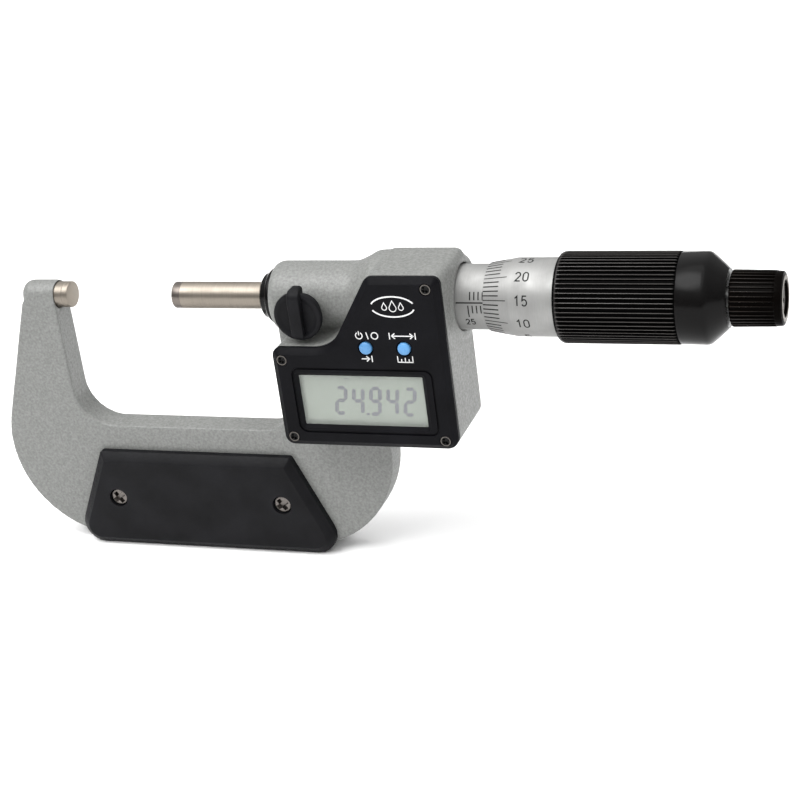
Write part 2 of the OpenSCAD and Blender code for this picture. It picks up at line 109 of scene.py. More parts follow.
def fillet(a, b, c, radius, steps):
    """Points of an arc that rounds the corner b between a and c."""
    a, b, c = Vector(a), Vector(b), Vector(c)
    u, w = (a - b).normalized(), (c - b).normalized()
    half = math.acos(max(-1, min(1, u.dot(w)))) / 2
    centre = b + (u + w).normalized() * radius / math.sin(half)
    start = b + u * radius / math.tan(half) - centre
    sweep = (math.pi - 2 * half) * (1 if start.x * (b - centre).y - start.y * (b - centre).x > 0 else -1)
    points = []
    for i in range(steps + 1):
        t = sweep * i / steps
        points.append(centre + Vector((start.x * math.cos(t) - start.y * math.sin(t),
                                       start.x * math.sin(t) + start.y * math.cos(t))))
    return points


def outline(path, inset=0.0, steps=6):
    """Rounds a path of (x, z, radius) corners, drawn inwards by inset. Its corners run counter-clockwise."""
    count = len(path)
    corners = []
    for i in range(count):
        a, b, c = (Vector(path[(i + k) % count][:2]) for k in (-1, 0, 1))
        u, w = (b - a).normalized(), (c - b).normalized()
        left_u, left_w = Vector((-u.y, u.x)), Vector((-w.y, w.x))
        shift = (left_u + left_w) * inset / (1 + left_u.dot(left_w))
        convex = u.x * w.y - u.y * w.x > 0
        corners.append((b + shift, max(0.05, path[i][2] + (-inset if convex else inset))))
    points = []
    for i, (corner, radius) in enumerate(corners):
        points += fillet(corners[i - 1][0], corner, corners[(i + 1) % count][0], radius, steps)
    return points


def stack(name, path, levels, steps=6):
    """A solid of one outline along Y: levels are (y, inset) pairs."""
    return loft(name, [[(p.x, y, p.y) for p in outline(path, inset, steps)] for y, inset in levels])


def rectangle(x0, x1, z0, z1, radius):
    return [(x0, z0, radius), (x1, z0, radius), (x1, z1, radius), (x0, z1, radius)]


def block(name, low, high):
    (x0, y0, z0), (x1, y1, z1) = low, high
    return loft(name, [[(x0, y, z0), (x1, y, z0), (x1, y, z1), (x0, y, z1)] for y in (y0, y1)])


def settle(obj):
    """Writes the result of an object's modifiers into its mesh."""
    depsgraph = bpy.context.evaluated_depsgraph_get()
    mesh = bpy.data.meshes.new_from_object(obj.evaluated_get(depsgraph))
    obj.modifiers.clear()
    obj.data = mesh
    return obj


def combine(obj, others, operation="DIFFERENCE"):
    """Cuts other solids from obj, or adds them to it, and removes them."""
    for other in others:
        step = obj.modifiers.new("combine", "BOOLEAN")
        step.operation = operation
        step.solver = "EXACT"
        step.object = other
    settle(obj)
    for other in others:
        bpy.data.objects.remove(other)
    return obj


def copy_node(node):
    """A welded copy of a CAD node's mesh."""
    mesh = frame["nodes"][node].data.copy()
    work = bmesh.new()
    work.from_mesh(mesh)
    bmesh.ops.remove_doubles(work, verts=work.verts, dist=MM * 0.001)
    work.to_mesh(mesh)
    work.free()
    obj = bpy.data.objects.new(node + "_shape", mesh)
    scene.collection.objects.link(obj)
    return obj


def join(name, objs):
    """Makes one object of several."""
    work = bmesh.new()
    for obj in objs:
        work.from_mesh(obj.data)
        bpy.data.objects.remove(obj)
    mesh = bpy.data.meshes.new(name)
    work.to_mesh(mesh)
    work.free()
    obj = bpy.data.objects.new(name, mesh)
    scene.collection.objects.link(obj)
    return obj


def place(obj, name, body, finish, nodes=(), crease=32):
    """Names a piece, gives it its finish, and lets it ride with its body in place of the CAD nodes.
    The slot is the finish's own name."""
    obj.name = obj.data.name = name
    obj.data.materials.clear()
    obj.data.materials.append(finishes[finish])
    obj.data.shade_smooth()
    obj.data.set_sharp_from_angle(angle=math.radians(crease))
    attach(obj, body)
    if nodes:
        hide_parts(*nodes)
    return obj


# ---------------------------------------------------------------- materials
def finish(name, colour, roughness, metallic=0.0):
    """A material with its shader, and its coordinates in metres."""
    material = bpy.data.materials.new(name)
    material.use_nodes = True
    nodes = material.node_tree.nodes
    shader = nodes["Principled BSDF"]
    shader.inputs["Base Color"].default_value = (*colour, 1)
    shader.inputs["Roughness"].default_value = roughness
    shader.inputs["Metallic"].default_value = metallic
    return material, shader


def texture(material, kind, scale, stretch=(1, 1, 1), **inputs):
    """A noise or cell texture on the piece's own coordinates; scale is in features per millimetre."""
    nodes, links = material.node_tree.nodes, material.node_tree.links
    place_node = nodes.new("ShaderNodeTexCoord")
    mapping = nodes.new("ShaderNodeMapping")
    mapping.inputs["Scale"].default_value = [s / MM for s in stretch]
    links.new(place_node.outputs["Object"], mapping.inputs["Vector"])
    node = nodes.new({"noise": "ShaderNodeTexNoise", "cells": "ShaderNodeTexVoronoi"}[kind])
    node.inputs["Scale"].default_value = scale
    for key, value in inputs.items():
        node.inputs[key].default_value = value
    links.new(mapping.outputs["Vector"], node.inputs["Vector"])
    return node.outputs[0]


def spread(material, source, low, high, start=0.3, end=0.7):
    """Maps a texture's middle range onto values from low to high."""
    node = material.node_tree.nodes.new("ShaderNodeMapRange")
    for key, value in (("From Min", start), ("From Max", end), ("To Min", low), ("To Max", high)):
        node.inputs[key].default_value = value
    material.node_tree.links.new(source, node.inputs["Value"])
    return node.outputs["Result"]


def tint(material, source, dark, light, start=0.3, end=0.7):
    """Maps a texture's middle range onto colours from dark to light."""
    ramp = material.node_tree.nodes.new("ShaderNodeValToRGB")
    ramp.color_ramp.elements[0].position = start
    ramp.color_ramp.elements[1].position = end
    ramp.color_ramp.elements[0].color = (*dark, 1)
    ramp.color_ramp.elements[1].color = (*light, 1)
    material.node_tree.links.new(source, ramp.inputs["Fac"])
    return ramp.outputs["Color"]


def relief(material, shader, source, height, after=None):
    """Raises the surface by a texture; height is in millimetres."""
    node = material.node_tree.nodes.new("ShaderNodeBump")
    node.inputs["Strength"].default_value = 1.0
    node.inputs["Distance"].default_value = height * MM
    material.node_tree.links.new(source, node.inputs["Height"])
    if after is not None:
        material.node_tree.links.new(after, node.inputs["Normal"])
    material.node_tree.links.new(node.outputs["Normal"], shader.inputs["Normal"])
    return node.outputs["Normal"]


def link(material, source, shader, socket):
    material.node_tree.links.new(source, shader.inputs[socket])


def scaled(colour, factor):
    return tuple(c * factor for c in colour)


def cast_enamel(name, colour):
    """Hammertone enamel: a fine speckle over shallow dimples."""
    material, shader = finish(name, colour, 0.42)
    speckle = texture(material, "noise", 1.7, Detail=3.0, Roughness=0.62)
    link(material, tint(material, speckle, scaled(colour, 0.78), scaled(colour, 1.2)), shader, "Base Color")
    link(material, spread(material, speckle, 0.55, 0.34), shader, "Roughness")
    dimples = relief(material, shader, texture(material, "cells", 0.85, Randomness=1.0), 0.035)
    relief(material, shader, speckle, 0.05, dimples)
    return material


def plastic(name, colour, roughness, grain=2.2, height=0.012, light=1.5, gloss=0.12):
    """Moulded plastic with a fine grain."""
    material, shader = finish(name, colour, roughness)
    shader.inputs["Specular IOR Level"].default_value = gloss
    fine = texture(material, "noise", grain, Detail=2.0)
    broad = texture(material, "noise", 0.12, Detail=3.0)
    link(material, tint(material, broad, scaled(colour, 0.8), scaled(colour, light)), shader, "Base Color")
    link(material, spread(material, fine, roughness * 0.86, roughness * 1.16), shader, "Roughness")
    relief(material, shader, fine, height)
    return material


def turned_metal(name, colour, roughness, height=0.004, contrast=0.1, anisotropy=0.5):
    """Turned or ground metal with fine rings about the measuring line."""
    material, shader = finish(name, colour, roughness, 1.0)
    rings = texture(material, "noise", 1.0, (9.0, 0.25, 0.25), Detail=3.0)
    cloud = texture(material, "noise", 0.16, Detail=4.0)
    link(material, tint(material, rings, scaled(colour, 1 - contrast), scaled(colour, 1 + contrast)), shader,
         "Base Color")
    link(material, spread(material, cloud, roughness * 0.85, roughness * 1.2), shader, "Roughness")
    shader.inputs["Anisotropic"].default_value = anisotropy
    relief(material, shader, rings, height)
    return material


def plain_metal(name, colour, roughness):
    """Bright metal with slight stains."""
    material, shader = finish(name, colour, roughness, 1.0)
    cloud = texture(material, "noise", 0.5, Detail=4.0)
    link(material, tint(material, cloud, scaled(colour, 0.85), scaled(colour, 1.08)), shader, "Base Color")
    link(material, spread(material, cloud, roughness * 0.8, roughness * 1.25), shader, "Roughness")
    relief(material, shader, texture(material, "noise", 3.0, Detail=2.0), 0.004)
    return material


def clear_window(name):
    """Clear acrylic over the display."""
    material, shader = finish(name, (0.9, 0.93, 0.9), 0.06)
    film = texture(material, "noise", 0.2, Detail=3.0)
    link(material, spread(material, film, 0.04, 0.1), shader, "Roughness")
    shader.inputs["Alpha"].default_value = 0.1
    shader.inputs["IOR"].default_value = 1.49
    return material


def display_cell(name, colour):
    """Reflective display cell, with a faint cloud and the fine grain of its reflector."""
    material, shader = finish(name, colour, 0.5)
    cloud = texture(material, "noise", 0.07, Detail=2.0)
    link(material, tint(material, cloud, scaled(colour, 0.94), scaled(colour, 1.05)), shader, "Base Color")
    relief(material, shader, texture(material, "noise", 6.0, Detail=1.0), 0.003)
    return material


def ribbed_plastic(name, valley, crest_highlight, radii, roughness, gloss):
    """Black ribs whose crests are coloured lighter as a painted highlight and whose valleys get less gloss
    as painted shade; radii are those of the valleys and the crests.
    """
    material, shader = finish(name, valley, roughness)
    nodes, links = material.node_tree.nodes, material.node_tree.links
    axes = nodes.new("ShaderNodeSeparateXYZ")
    links.new(nodes.new("ShaderNodeTexCoord").outputs["Object"], axes.inputs["Vector"])
    flat = nodes.new("ShaderNodeCombineXYZ")
    links.new(axes.outputs["Y"], flat.inputs["Y"])
    links.new(axes.outputs["Z"], flat.inputs["Z"])
    distance = nodes.new("ShaderNodeVectorMath")
    distance.operation = "LENGTH"
    links.new(flat.outputs["Vector"], distance.inputs[0])
    height = spread(material, distance.outputs["Value"], 0.0, 1.0, radii[0] * MM, radii[1] * MM)
    # Painted highlight: the crests' colour runs lighter than the valleys'.
    link(material, tint(material, height, valley, crest_highlight, 0.7, 1.0), shader, "Base Color")
    # Painted shade: the valleys are given far less gloss than the crests.
    link(material, spread(material, height, 0.01, gloss, 0.6, 1.0), shader, "Specular IOR Level")
    wear = texture(material, "noise", 1.4, Detail=3.0)
    link(material, spread(material, wear, roughness * 0.8, roughness * 1.25), shader, "Roughness")
    relief(material, shader, wear, 0.006)
    return material


finishes = {
    "enamel": cast_enamel("enamel", (0.18, 0.184, 0.176)),
    "ground_steel": turned_metal("ground_steel", (0.25, 0.222, 0.188), 0.42),
    "carbide": turned_metal("carbide", (0.17, 0.15, 0.135), 0.4),
    "hardened_steel": turned_metal("hardened_steel", (0.55, 0.55, 0.54), 0.3),
    "screw_steel": plain_metal("screw_steel", (0.17, 0.155, 0.145), 0.34),
    "screw_black": plain_metal("screw_black", (0.13, 0.12, 0.11), 0.3),
    "dark_screw": plain_metal("dark_screw", (0.02, 0.02, 0.02), 0.4),
    "spring_steel": plain_metal("spring_steel", (0.6, 0.6, 0.6), 0.25),
    "battery_steel": plain_metal("battery_steel", (0.7, 0.7, 0.7), 0.22),
    "satin_chrome": turned_metal("satin_chrome", (0.345, 0.345, 0.338), 0.62, 0.002, 0.04, 0.2),
    "black_plastic": plastic("black_plastic", (0.006, 0.006, 0.007), 0.5, gloss=0.1),
    "cover_plastic": plastic("cover_plastic", (0.003, 0.003, 0.004), 0.46, gloss=0.07),
    # Painted highlight: the grip's and the ratchet knob's crest colours are lighter than their valleys.
    "grip_black": ribbed_plastic(
        "grip_black", (0.0015, 0.0015, 0.0015), (0.05, 0.046, 0.043), (9.9, 10.45), 0.2, 0.35),
    "knob_black": ribbed_plastic(
        "knob_black", (0.002, 0.0015, 0.0013), (0.012, 0.009, 0.007), (5.8, 6.3), 0.24, 0.14),
    "black_metal": plastic("black_metal", (0.002, 0.0018, 0.0018), 0.2, 1.2, 0.004, 1.5, 0.11),
    # A paler grey for the ring on the ratchet knob's end face.
    "end_grey": plastic("end_grey", (0.16, 0.145, 0.13), 0.45, 1.6, 0.01, 1.6, 0.3),
    "button_blue": plastic("button_blue", (0.095, 0.27, 0.53), 0.3, 1.5, 0.006, 1.15, 0.4),
    "window_clear": clear_window("window_clear"),
    "lcd_glass": display_cell("lcd_glass", (0.172, 0.202, 0.164)),
    "board_green": plastic("board_green", (0.03, 0.14, 0.05), 0.4),
    "seal_rubber": plastic("seal_rubber", (0.01, 0.01, 0.01), 0.75),
    "brass": plain_metal("brass", (0.62, 0.44, 0.18), 0.3),
}
inks = {
    "engraving": plastic("engraving_ink", (0.02, 0.02, 0.02), 0.6),
    "segments": plastic("display_segments", (0.07, 0.075, 0.095), 0.5, 2.0, 0.001, 1.2),
    "white": plastic("white_print", (0.75, 0.75, 0.75), 0.55, 2.0, 0.002, 1.05),
}

for entry in frame["record"]["subparts"]:
    data = frame["nodes"][entry["node"]].data
    data.materials.clear()
    data.materials.append(finishes[entry["material_slot"]])

# ---------------------------------------------------------------- casting
BORE_SHOW = 0.22                      # dark gap round the sleeve where it enters the barrel
VOXEL = 0.3                           # grain of the mesh that rounds the casting's edges
BARREL_END = 102.5                    # where the barrel ends and the sleeve comes out
sleeve_low, sleeve_high = span("graduated_sleeve")
cover_low, cover_high = span("display_cover")
casting_low = span("frame")[0]
sleeve_r = sleeve_high.z
bore_r = sleeve_r + BORE_SHOW

casting = copy_node("frame")
combine(casting, [lathe("bore", [(sleeve_low.x, bore_r), (BARREL_END + 2 * OVERCUT, bore_r)])])
casting = join("casting", [casting, lathe("shoulder", [
    (-13.12, 1.4), (-12.95, 2.3), (-12.5, 3.0), (-11.8, 3.45), (-11.05, 3.6)
])])
remesh = casting.modifiers.new("remesh", "REMESH")
remesh.mode = "VOXEL"
remesh.voxel_size = VOXEL * MM
smooth = casting.modifiers.new("smooth", "SMOOTH")
smooth.factor = 0.5
smooth.iterations = 14
place(settle(casting), "casting", "frame", "enamel", ["frame"], 180)

# ---------------------------------------------------------------- measuring faces
anvil_r = span("anvil")[1].z
anvil = lathe("anvil", [(-11, anvil_r), (-1.68, anvil_r), (-1.6, anvil_r - 0.06)])
place(anvil, "anvil_stem", "frame", "ground_steel", ["anvil"])
tip = lathe("tip", [
    (-1.6, anvil_r - 0.06), (-1.54, anvil_r), (-0.22, anvil_r), (-0.06, anvil_r - 0.08), (0, anvil_r - 0.25)
])
place(tip, "anvil_face", "frame", "ground_steel", ["anvil_tip"])

tip_low, tip_high = span("spindle_tip")
spindle_tip = lathe("tip", [
    (tip_low.x, anvil_r - 0.3), (tip_low.x + 0.09, anvil_r - 0.1), (tip_low.x + 0.3, anvil_r),
    (tip_high.x - 0.07, anvil_r), (tip_high.x, anvil_r - 0.07)
])
place(spindle_tip, "spindle_face", "spindle", "carbide", ["spindle_tip"])

# ---------------------------------------------------------------- seal cap
SEAL_BORE = 3.34                      # clears the spindle
cap_low, cap_high = span("seal_cap")
seal = lathe("seal", [
    (cap_low.x + 0.3, SEAL_BORE), (cap_low.x, 3.6), (cap_low.x, 4.4), (cap_low.x + 0.15, 4.8),
    (cap_low.x + 0.6, 5.35), (cap_low.x + 1.7, 5.7), (cap_low.x + 1.85, 5.8), (cap_low.x + 2.0, 6.25),
    (cap_low.x + 2.4, 6.6), (cap_low.x + 2.7, cap_high.z), (cap_high.x, cap_high.z), (cap_high.x, SEAL_BORE)
], closed=True)
place(seal, "seal_cap_ring", "frame", "black_metal", ["seal_cap"])

# ---------------------------------------------------------------- grip plates
PLATE_CHAMFER = 2.0
PLATE_CHAMFER_DEPTH = 1.6
PLATE_HALF_LOW, PLATE_HALF_HIGH = 38, 26.2      # half widths along the lower and the upper edge
PLATE_SCREW_HALF, PLATE_SCREW_Z = 22.75, -53.5
CROSS_TURN = 0.62                               # radians that the screws' crosses are turned


def cross_screw(name, centre, face_y, side, head_r, head_h, shank_r, shank_len):
    """A cross-head screw; side is -1 if its head faces -Y and 1 if it faces +Y."""
    def at(depth):
        return face_y - side * depth
    body = post(name, centre, [
        (at(0.0), head_r * 0.84), (at(0.08), head_r * 0.96),
        (at(0.22), head_r), (at(head_h * 0.6), head_r),
        (at(head_h), shank_r), (at(head_h + shank_len), shank_r)
    ], 48)
    arm, width = head_r * 0.78, head_r * 0.26
    cutters = []
    for turn in (CROSS_TURN, CROSS_TURN + math.pi / 2):
        c, s = math.cos(turn), math.sin(turn)
        rings = []
        for depth, reach, half in ((-0.4, arm * 1.1, width * 1.2), (head_h * 0.75, arm * 0.7, width * 0.8)):
            corners = [(-reach, -half), (reach, -half), (reach, half), (-reach, half)]
            rings.append([(centre[0] + u * c - v * s, at(depth), centre[1] + u * s + v * c)
                          for u, v in corners])
        cutters.append(loft("cross", rings))
    return combine(body, cutters)


plate_low, plate_high = span("front_grip_plate")
web_y = plate_high.y
plate_mid = (plate_low.x + plate_high.x) / 2
plate_path = [
    (plate_mid - PLATE_HALF_LOW, plate_low.z, 5.2), (plate_mid + PLATE_HALF_LOW, plate_low.z, 5.2),
    (plate_mid + PLATE_HALF_HIGH, plate_high.z, 0.8), (plate_mid - PLATE_HALF_HIGH, plate_high.z, 0.8)
]
plate_screws = [(plate_mid + side * PLATE_SCREW_HALF, PLATE_SCREW_Z) for side in (-1, 1)]
for side, label in ((-1, "front"), (1, "rear")):
    outer = -plate_low.y
    plate = stack("plate", plate_path, [
        (side * -web_y, 0.0), (side * (outer - PLATE_CHAMFER_DEPTH - 0.12), 0.0),
        (side * (outer - PLATE_CHAMFER_DEPTH), 0.08),
        (side * (outer - 0.1), PLATE_CHAMFER - 0.08), (side * outer, PLATE_CHAMFER + 0.12)
    ])
    holes = []
    for centre in plate_screws:
        holes.append(post("hole", centre, [(side * (outer + OVERCUT), 2.5), (side * (outer - 2.1), 2.4)]))
        holes.append(post("hole", centre, [(side * (outer - 1), 1.5), (side * (-web_y - OVERCUT), 1.5)]))
    combine(plate, holes)
    place(plate, label + "_plate", "frame", "black_plastic", [label + "_grip_plate"], 20)
    screws = join("screws", [cross_screw("screw", centre, side * (outer - 0.55), side, 2.15, 1.5, 1.2, 3.4)
                             for centre in plate_screws])
    place(screws, label + "_screws", "frame", "screw_steel", [label + "_plate_screws"])

# ---------------------------------------------------------------- display cover
COVER_CHAMFER = 1.35
COVER_CHAMFER_DEPTH = 1.1
LOBE_TOP = -6.8                                 # upper edge of the part left of the buttons
GROOVE_W, GROOVE_DEPTH = 0.5, 0.45              # the groove that frames the bezel
BEZEL = (63.3, 98.2, -28.1, -11.4)              # its left, right, lower and upper edge
RIM_STEPS = 48
front = cover_low.y
back = cover_high.y
case_right = cover_high.x
case_path = [
    (cover_low.x, cover_low.z, 2.2), (case_right, cover_low.z, 3), (case_right, cover_high.z, 1.8),
    (84.6, cover_high.z, 2.4), (73.8, LOBE_TOP, 8), (cover_low.x, LOBE_TOP, 2.2)
]
glass_low, glass_high = span("display_window")
view_x = (glass_low.x + 0.75, glass_high.x - 0.75)
view_z = (glass_low.z + 0.75, glass_high.z - 0.75)
bezel_path = rectangle(*BEZEL, 2.2)
cover = stack("cover", case_path, [
    (back, 0.0), (front + COVER_CHAMFER_DEPTH + 0.1, 0.0), (front + COVER_CHAMFER_DEPTH - 0.05, 0.08),
    (front + 0.12, COVER_CHAMFER - 0.06), (front, COVER_CHAMFER + 0.14)
])
window_path = rectangle(view_x[0], view_x[1], view_z[0], view_z[1], 0.25)
island = stack("island", bezel_path, [
    (front - 2 * OVERCUT, GROOVE_W), (front, GROOVE_W), (front + OVERCUT, GROOVE_W - 0.1)
])
groove = stack("groove", bezel_path, [(front - OVERCUT, -0.1), (front, -0.05), (front + GROOVE_DEPTH, 0.05)])
cutters = [
    combine(groove, [island]),
    stack("recess", bezel_path, [(front - OVERCUT, 0.2), (front + 0.1, 0.2), (front + 0.12, 0.25)]),
    stack("opening", window_path, [
        (front - OVERCUT, -1.15), (front + 0.2, -0.95), (glass_low.y, 0.0), (glass_low.y + 0.01, 0.0)
    ]),
    block("seat", (glass_low.x - 0.05, glass_low.y, glass_low.z - 0.05),
          (glass_high.x + 0.05, back + OVERCUT, glass_high.z + 0.05))
]
button_at = []
for node in ("power_button", "mode_button"):
    low, high = span(node)
    button_at.append(((low.x + high.x) / 2, (low.z + high.z) / 2))
for centre in button_at:
    cutters.append(post("hole", centre, [
        (front - OVERCUT, 1.95), (front, 1.95), (front + 0.4, 1.62), (back + OVERCUT, 1.6)
    ]))
cover_screw_at = [(61.3, -9.7), (61.4, -29.4), (99.2, -29.4), (98.9, 8.2)]
for centre in cover_screw_at:
    cutters.append(post("hole", centre, [(front - OVERCUT, 1.5), (front + 1.0, 1.42)], 32))
    cutters.append(post("hole", centre, [(front + 0.9, 0.8), (back + OVERCUT, 0.8)], 32))
combine(cover, cutters)
place(cover, "cover", "frame", "cover_plastic", ["display_cover"], 20)
screws = join("screws", [cross_screw("screw", centre, front + 0.2, -1, 1.2, 0.7, 0.7, 5.4)
                         for centre in cover_screw_at])
place(screws, "cover_screw_set", "frame", "dark_screw", ["cover_screws"], 25)


def rim_ring(centre, y, r):
    """A ring of points about a screw's axis."""
    turns = [math.tau * i / RIM_STEPS for i in range(RIM_STEPS)]
    return [(centre[0] + r * math.cos(a), y, centre[1] + r * math.sin(a)) for a in turns]


# Painted highlight: a ring of brighter metal round the edge of each dark cover screw's head stands in for
# the light caught on that edge.
rim_section = [(front + 0.14, 1.02), (front + 0.14, 1.22), (front + 0.3, 1.25), (front + 0.3, 0.98)]
highlight_rims = join("highlight_rims", [loft("rim", [rim_ring(centre, y, r) for y, r in rim_section], closed=True)
                     for centre in cover_screw_at])
place(highlight_rims, "cover_screw_highlight_rims", "frame", "screw_black")

window = stack("window", rectangle(glass_low.x, glass_high.x, glass_low.z, glass_high.z, 0.3),
               [(glass_high.y, 0.0), (glass_low.y + 0.05, 0.0), (glass_low.y, 0.05)])
place(window, "window", "frame", "window_clear", ["display_window"])

for node, centre in zip(("power_button", "mode_button"), button_at):
    low, high = span(node)
    button = post("button", centre, [
        (high.y, 2.0), (back + 0.02, 2.0), (back + 0.02, 1.5), (front - 0.1, 1.5), (front - 0.26, 1.44),
        (front - 0.42, 1.28), (front - 0.54, 0.98), (front - 0.62, 0.55), (low.y, 0.1)
    ])
    place(button, node + "_cap", node, "button_blue", [node])

# ---------------------------------------------------------------- marks
def ribbon(points, width, closed=False):
    """Quads of a flat stroke of equal width along points, as lists of four (u, v) corners."""
    points = [Vector(p) for p in points]
    count = len(points)
    sides = []
    for i, p in enumerate(points):
        before = points[i - 1] if i or closed else None
        after = points[(i + 1) % count] if i < count - 1 or closed else None
        u = (p - before).normalized() if before is not None else (after - p).normalized()
        w = (after - p).normalized() if after is not None else u
        mean = (u + w).normalized()
        normal = Vector((-mean.y, mean.x)) * width / 2 / max(0.5, mean.dot(u))
        sides.append((p + normal, p - normal))
    last = count if closed else count - 1
    cells = []
    for i in range(last):
        (near_left, near_right), (far_left, far_right) = sides[i], sides[(i + 1) % count]
        cells.append([near_left, near_right, far_right, far_left])
    return cells


def fine(points, step):
    """The same polyline with points no further apart than step."""
    out = [Vector(points[0])]
    for a, b in zip(points, points[1:]):
        a, b = Vector(a), Vector(b)
        parts = max(1, math.ceil((b - a).length / step))
        out += [a.lerp(b, (i + 1) / parts) for i in range(parts)]
    return out


def arc(centre, radii, start, end, steps=20):
    """Points of an elliptic arc between two angles in degrees."""
    angles = [math.radians(start + (end - start) * i / steps) for i in range(steps + 1)]
    return [(centre[0] + radii[0] * math.cos(a), centre[1] + radii[1] * math.sin(a)) for a in angles]


def inlay(name, cells, surface, thickness=0.06):
    """Solid marks from flat quads: surface(u, v, height) gives a point above the surface."""
    points, faces = [], []
    for cell in cells:
        base, count = len(points), len(cell)
        for height in (PAINT, PAINT - thickness):
            points += [surface(p[0], p[1], height) for p in cell]
        faces += [tuple(range(base, base + count)), tuple(range(base + count, base + 2 * count))]
        for j in range(count):
            k = (j + 1) % count
            faces.append((base + j, base + k, base + count + k, base + count + j))
    return build(name, points, faces)


def lay_mark(obj, name, body, ink, slot):
    place(obj, name, body, slot)
    obj.data.materials.clear()
    obj.data.materials.append(inks[ink])


def on_turned(base):
    """A cylinder about the measuring line: u is X, and v is the distance round it, upwards from -Y."""
    def surface(u, v, height):
        angle = v / base
        r = base + height
        return (u, -r * math.cos(angle), r * math.sin(angle))
    return surface


def on_plane(y):
    """A flat surface that faces -Y."""
    def surface(u, v, height):
        return (u, y - height, v)
    return surface


NUMERAL_PITCH = 0.86

# Engraver's numerals: strokes in a box 0.6 wide and 1 high
NUMERALS = {
    "0": [[*arc((0.3, 0.7), (0.27, 0.3), 0, 180, 10), *arc((0.3, 0.3), (0.27, 0.3), 180, 360, 10),
           (0.57, 0.7)]],
    "1": [[(0.14, 0.76), (0.38, 1.0), (0.38, 0.0)]],
    "2": [[*arc((0.3, 0.72), (0.26, 0.28), 170, -30, 12), (0.04, 0.0), (0.58, 0.0)]],
    "3": [[*arc((0.29, 0.76), (0.24, 0.24), 160, -80, 12), *arc((0.29, 0.27), (0.27, 0.27), 80, -160, 12)]],
    "4": [[(0.44, 0.0), (0.44, 1.0), (0.02, 0.28), (0.6, 0.28)]],
    "5": [[(0.54, 1.0), (0.12, 1.0), (0.07, 0.54), *arc((0.3, 0.32), (0.27, 0.32), 130, -150, 14)]],
}


def numeral_cells(word, start, height, width, upright, step=0.3):
    """Quads of a number whose lower left corner is at start; it reads along +u."""
    cells = []
    for i, character in enumerate(word):
        for stroke in NUMERALS[character]:
            path = [(start[0] + (x + i * NUMERAL_PITCH) * height * upright, start[1] + y * height)
                    for x, y in stroke]
            cells += ribbon(fine(path, step), width)
    return cells


index_v = math.radians(INDEX_ANGLE) * sleeve_r
thimble_low, thimble_high = span("thimble")
thimble_r = thimble_high.z
edge_r = 7.93                     # radius of the bevelled edge
BEVEL = 5.6                       # length of the bevel
LOWEST, SPREAD = 25, 25           # the first reading in millimetres, and the span of the scale
reading = tip_low.x
edge = thimble_low.x
mark_25 = edge - (reading - LOWEST)

sleeve_cells = ribbon(fine([(BARREL_END + 0.1, index_v), (mark_25 + SPREAD + 0.6, index_v)], 2.0), 0.32)
for half in range(2 * SPREAD + 1):
    u = mark_25 + half / 2
    whole = half % 2 == 0
    tall = whole and (half // 2) % 5 == 0
    sign = -1 if whole else 1
    length = 2.9 if tall else 1.9
    line = [(u, index_v + sign * 0.62), (u, index_v + sign * (0.62 + length))]
    sleeve_cells += ribbon(fine(line, 0.5), 0.28)
    if tall:
        word = str(LOWEST + half // 2)
        sleeve_cells += numeral_cells(word, (u - 1.05, index_v - 5.9), 1.7, 0.28, 0.84)
sleeve_marks = inlay("marks", sleeve_cells, on_turned(sleeve_r))
lay_mark(sleeve_marks, "sleeve_scale", "frame", "engraving", "satin_chrome")


def thimble_radius(u):
    """Radius of the thimble's bevelled edge and body."""
    profile = [(edge, edge_r), (edge + BEVEL, thimble_r - 0.15), (edge + BEVEL + 0.9, thimble_r)]
    for (x0, r0), (x1, r1) in zip(profile, profile[1:]):
        if u <= x1:
            return r0 + (r1 - r0) * (max(u, x0) - x0) / (x1 - x0)
    return thimble_r


def on_thimble(u, v, height):
    """v is an angle in degrees above straight ahead, and u is X."""
    r = thimble_radius(u) + height
    a = math.radians(v)
    return (u, -r * math.cos(a), r * math.sin(a))


def on_body(angle):
    """Surface for a numeral: u is X and v is the distance round the thimble from an angle."""
    def surface(u, v, height):
        return on_thimble(u, angle + math.degrees(v / thimble_r), height)
    return surface


DIVISIONS = 50
turn_reading = (reading * 100) % DIVISIONS
parts = []
line_cells = []
for i in range(DIVISIONS):
    angle = INDEX_ANGLE + (i - turn_reading) * 360 / DIVISIONS
    length = 5.6 if i % 5 == 0 else 3.8
    half_width = math.degrees((0.2 if i % 5 == 0 else 0.3) / 2 / thimble_r)
    stops = [edge + u for u in ((0.05, 1.9, 3.8, length) if i % 5 == 0 else (0.05, 1.5, length))]
    low, high = angle - half_width, angle + half_width
    for a, b in zip(stops, stops[1:]):
        line_cells.append([(a, low), (b, low), (b, high), (a, high)])
    if i % 5 == 0:
        cells = numeral_cells(str(i), (edge + 7.6 + (0.9 if i < 10 else 0), -1.1), 2.2, 0.31, 0.96)
        parts.append(inlay("numeral", cells, on_body(angle)))
parts.append(inlay("lines", line_cells, on_thimble))
lay_mark(join("marks", parts), "thimble_scale", "spindle", "engraving", "satin_chrome")

